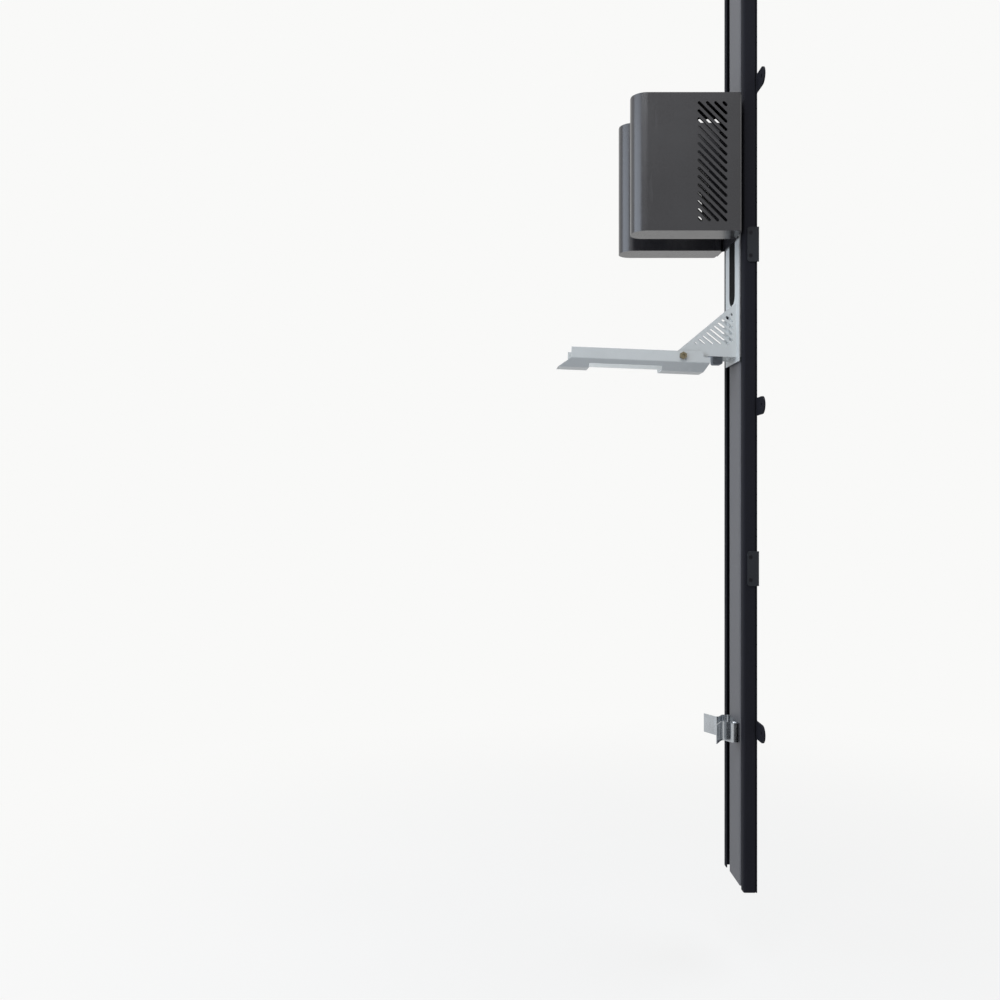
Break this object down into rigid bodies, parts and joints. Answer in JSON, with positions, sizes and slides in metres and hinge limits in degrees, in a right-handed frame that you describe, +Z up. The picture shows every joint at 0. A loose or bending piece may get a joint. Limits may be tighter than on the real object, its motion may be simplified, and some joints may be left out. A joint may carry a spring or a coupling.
{
  "type": "vertical bike lift",
  "caption": "Wall column with a sprung sliding carriage, twin wheel guards, a folding wheel tray and a low tyre clip, for parking a bicycle upright.",
  "frame": {"origin": "centre of the wall-bolt rectangle, on the wall plane, at the middle strap", "axes": "+Z up along the column, +X into the wall, -X out into the room, +Y to the left as seen from the room"},
  "size_m": [0.3819, 0.236, 1.875],
  "materials": {
    "column_paint": "satin anthracite powder coat",
    "splice_paint": "satin charcoal powder coat",
    "panel_paint": "satin mid grey powder coat",
    "guard_paint": "satin dark grey powder coat",
    "arm_paint": "satin light blue-grey powder coat",
    "yellow_zinc": "yellow zinc plating",
    "spring_steel": "dark brushed spring steel",
    "rod_chrome": "hard chrome",
    "cylinder_paint": "gloss black",
    "buffer_rubber": "moulded grey rubber",
    "strip_rubber": "smooth black rubber",
    "bearing_plastic": "moulded natural acetal",
    "black_steel": "black oxide",
    "plain_steel": "bright zinc"
  },
  "bodies": {
    "column": {"rail_lower_left": "column_paint", "rail_lower_right": "column_paint", "front_panel_lower": "panel_paint", "back_channel_lower": "column_paint", "wall_strap_lower": "column_paint", "rail_middle_left": "column_paint", "rail_middle_right": "column_paint", "front_panel_middle": "panel_paint", "back_channel_middle": "column_paint", "wall_strap_middle": "column_paint", "rail_upper_left": "column_paint", "rail_upper_right": "column_paint", "front_panel_upper": "panel_paint", "back_channel_upper": "column_paint", "wall_strap_upper": "column_paint", "splice_plate_lower_left": "splice_paint", "splice_plate_lower_right": "splice_paint", "splice_plate_upper_left": "splice_paint", "splice_plate_upper_right": "splice_paint", "splice_screws": "black_steel", "strap_rivets": "plain_steel", "top_cap": "column_paint", "stud_nuts": "plain_steel", "tyre_clip": "spring_steel", "clip_screws": "plain_steel", "spring_anchor_left": "plain_steel", "spring_anchor_right": "plain_steel", "gas_cylinder_left": "cylinder_paint", "gas_cylinder_right": "cylinder_paint", "gas_gland_left": "plain_steel", "gas_gland_right": "plain_steel", "travel_buffer_left": "buffer_rubber", "travel_buffer_right": "buffer_rubber"},
    "carriage": {"carriage_plate": "arm_paint", "roller_axles": "plain_steel", "rod_pins": "plain_steel", "carriage_screws": "black_steel", "guard_backplate": "guard_paint", "tyre_strip": "strip_rubber", "bumper": "buffer_rubber", "pivot_bolt": "yellow_zinc", "pivot_nut": "yellow_zinc", "pivot_bushes": "bearing_plastic", "guide_web_left": "plain_steel", "guide_web_right": "plain_steel", "gas_rod_left": "rod_chrome", "gas_rod_right": "rod_chrome", "guard_shell_left": "guard_paint", "guard_shell_right": "guard_paint", "guard_floor_left": "guard_paint", "guard_floor_right": "guard_paint", "guard_top_left": "guard_paint", "guard_top_right": "guard_paint", "arm_bracket_left": "arm_paint", "arm_bracket_right": "arm_paint"},
    "tray": {"tray": "arm_paint"},
    "roller_lower_left": {"roller_lower_left": "bearing_plastic"},
    "roller_lower_right": {"roller_lower_right": "bearing_plastic"},
    "roller_upper_left": {"roller_upper_left": "bearing_plastic"},
    "roller_upper_right": {"roller_upper_right": "bearing_plastic"}
  },
  "joints": [
    {"name": "carriage_slide", "type": "slide", "parent": "column", "child": "carriage", "axis": [0, 0, 1], "range_m": [-0.6, 0], "stiffness_N_per_m": 60, "springref_m": 2.4},
    {"name": "tray_fold", "type": "hinge", "parent": "carriage", "child": "tray", "pos_m": [-0.138, 0, 0.103], "axis": [0, 1, 0], "range_deg": [0, 85]},
    {"name": "roller_lower_left_spin", "type": "hinge", "parent": "carriage", "child": "roller_lower_left", "pos_m": [-0.017, 0.065, 0.129], "axis": [0, 1, 0], "range_deg": [-3545, 0]},
    {"name": "roller_lower_right_spin", "type": "hinge", "parent": "carriage", "child": "roller_lower_right", "pos_m": [-0.017, -0.065, 0.129], "axis": [0, 1, 0], "range_deg": [-3545, 0]},
    {"name": "roller_upper_left_spin", "type": "hinge", "parent": "carriage", "child": "roller_upper_left", "pos_m": [-0.017, 0.065, 0.566], "axis": [0, 1, 0], "range_deg": [0, 3545]},
    {"name": "roller_upper_right_spin", "type": "hinge", "parent": "carriage", "child": "roller_upper_right", "pos_m": [-0.017, -0.065, 0.566], "axis": [0, 1, 0], "range_deg": [0, 3545]}
  ],
  "couplings": [
    {"joint": "roller_lower_left_spin", "follows": "carriage_slide", "rad_per_m": 103.09},
    {"joint": "roller_lower_right_spin", "follows": "carriage_slide", "rad_per_m": 103.09},
    {"joint": "roller_upper_left_spin", "follows": "carriage_slide", "rad_per_m": -103.09},
    {"joint": "roller_upper_right_spin", "follows": "carriage_slide", "rad_per_m": -103.09}
  ]
}
